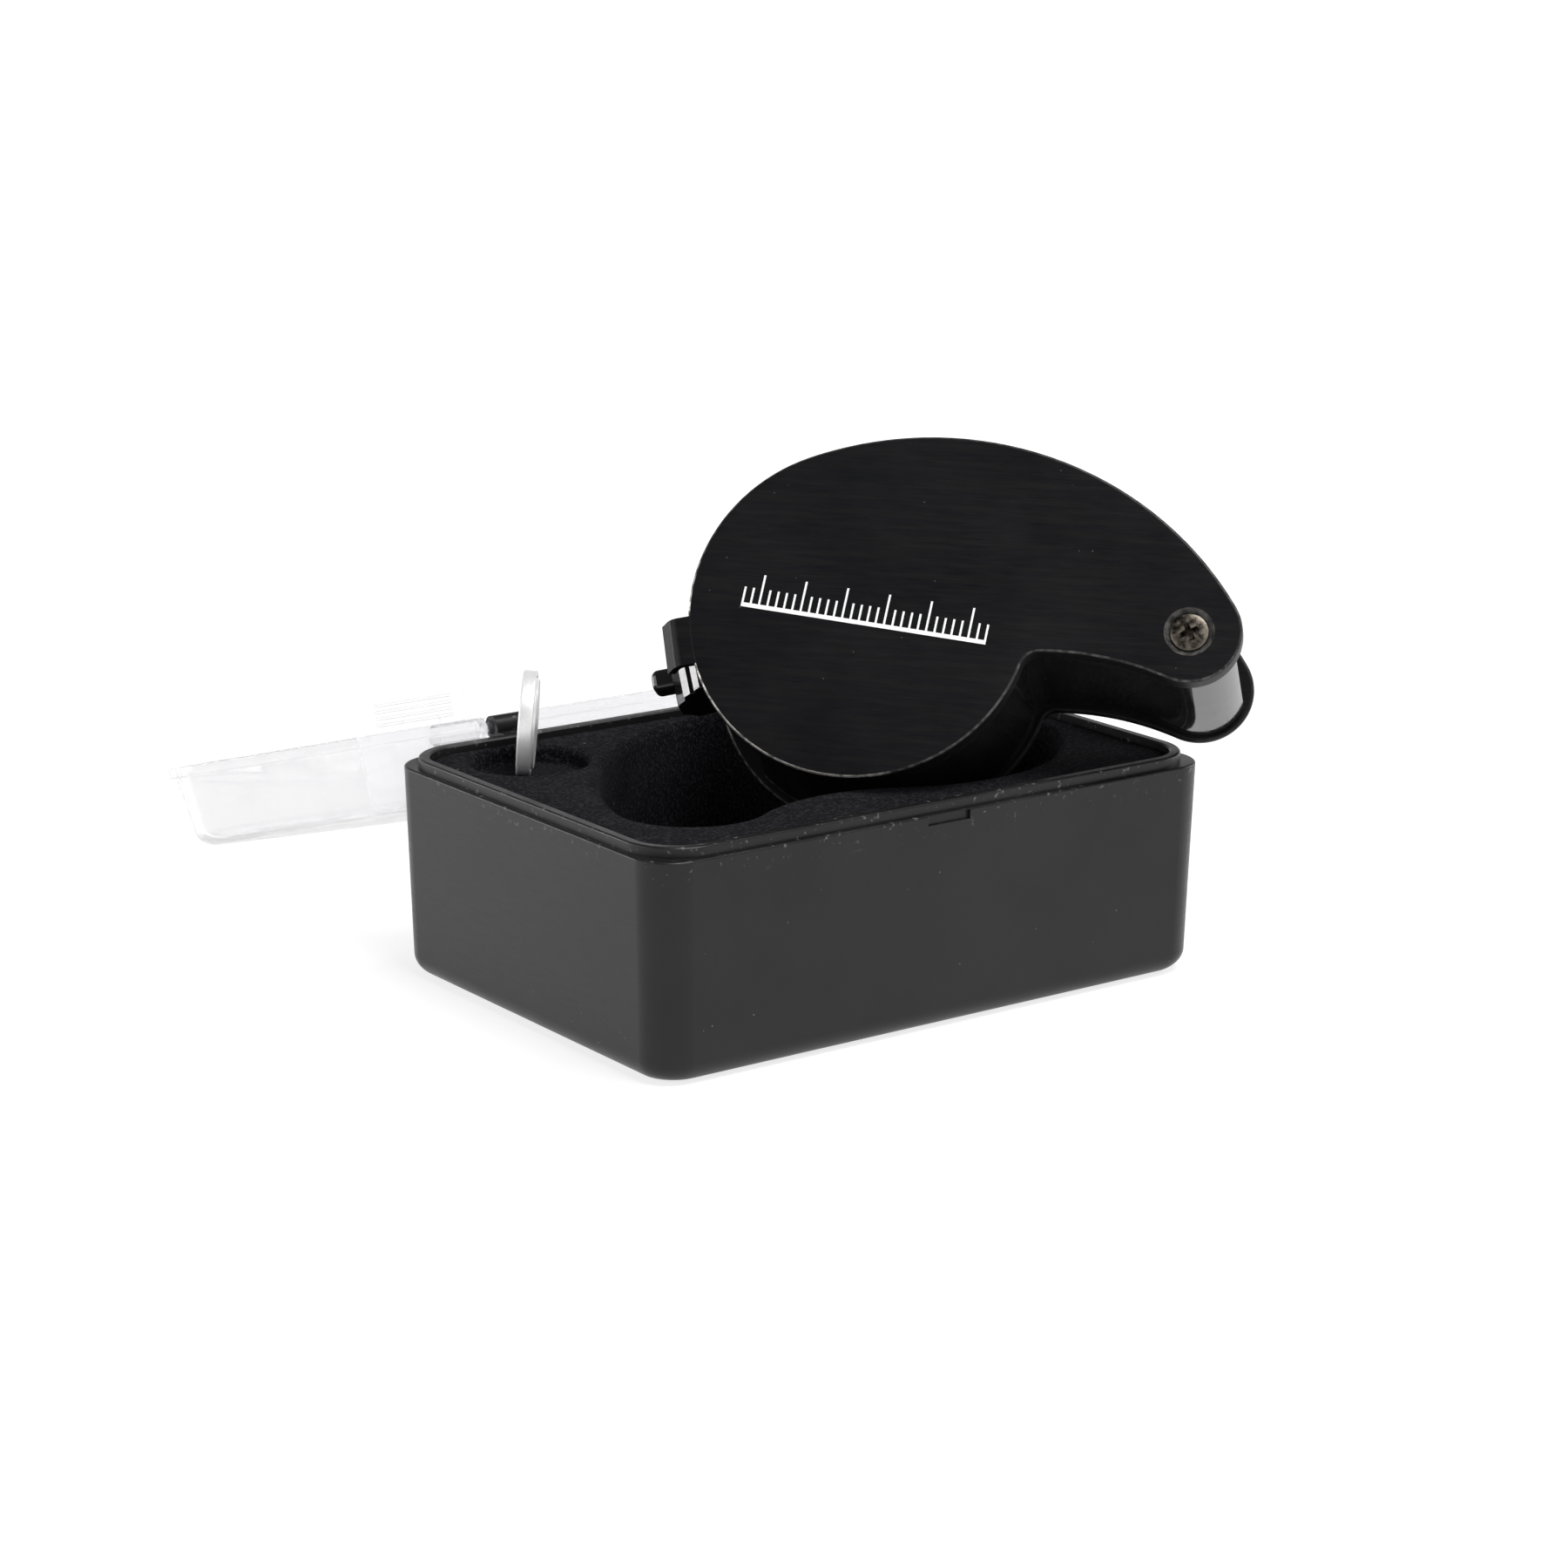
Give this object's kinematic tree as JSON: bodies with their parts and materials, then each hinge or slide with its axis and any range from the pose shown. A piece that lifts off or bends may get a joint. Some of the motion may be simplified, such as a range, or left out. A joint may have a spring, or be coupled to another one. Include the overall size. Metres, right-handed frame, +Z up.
{
  "type": "folding hand lens in case",
  "caption": "Folding black hand lens with a swing-out lens and built-in lamp, leaning in a flock-lined hard case with a clear hinged lid and a spare coin cell.",
  "frame": {"origin": "centre of the case's flat underside", "axes": "+Z up, X along the case's long side with the lid hinge on the +Y side, front of the case towards -Y"},
  "size_m": [0.0872, 0.1318, 0.0636],
  "materials": {
    "case_plastic": "moulded black plastic, fine satin",
    "flock": "black flock on foam",
    "clear_lid": "clear moulded plastic",
    "cell_steel": "bright nickel-plated steel",
    "satin_black": "black anodised sheet, finely brushed, satin",
    "gloss_black": "glossy black plastic",
    "barrel_black": "black anodised, turned",
    "spacer_black": "matt black",
    "optical_glass": "polished, coated",
    "screw_black": "blackened steel",
    "bare_steel": "turned steel",
    "nylon": "natural nylon",
    "lamp_resin": "clear lamp resin",
    "brass": "spring brass"
  },
  "bodies": {
    "case": {"case_base": "case_plastic", "case_insert": "flock"},
    "lid": {"case_lid": "clear_lid"},
    "loupe": {"front_cover": "satin_black", "rear_cover": "satin_black", "spine_wall": "gloss_black", "pivot_screw": "screw_black", "pivot_sleeve": "bare_steel", "pivot_nut": "screw_black", "front_washer": "nylon", "rear_washer": "nylon"},
    "lens": {"lens_holder": "gloss_black", "lens_barrel": "barrel_black", "front_retaining_ring": "barrel_black", "eye_lens": "optical_glass", "lens_spacer": "spacer_black", "field_lens": "optical_glass", "rear_retaining_ring": "barrel_black", "led_lamp": "lamp_resin", "led_bezel": "bare_steel", "working_cell": "cell_steel", "negative_contact": "brass", "positive_contact": "brass", "battery_door": "gloss_black", "switch_leaf": "brass"},
    "spare_cell": {"spare_cell": "cell_steel"}
  },
  "joints": [
    {"name": "lid_hinge", "type": "hinge", "parent": "case", "child": "lid", "pos_m": [0, 0.0303, 0.0271], "axis": [1, 0, 0], "range_deg": [0, 105]},
    {"name": "loupe_lift", "type": "slide", "parent": "case", "child": "loupe", "axis": [0, 0, 1], "range_m": [0, 0.08]},
    {"name": "lens_swing", "type": "hinge", "parent": "loupe", "child": "lens", "pos_m": [0.02725, -0.03693, 0.04443], "axis": [0.6294, 0.591, -0.5045], "range_deg": [0, 88]},
    {"name": "spare_cell_lift", "type": "slide", "parent": "case", "child": "spare_cell", "axis": [0, 0, 1], "range_m": [0, 0.03]}
  ]
}
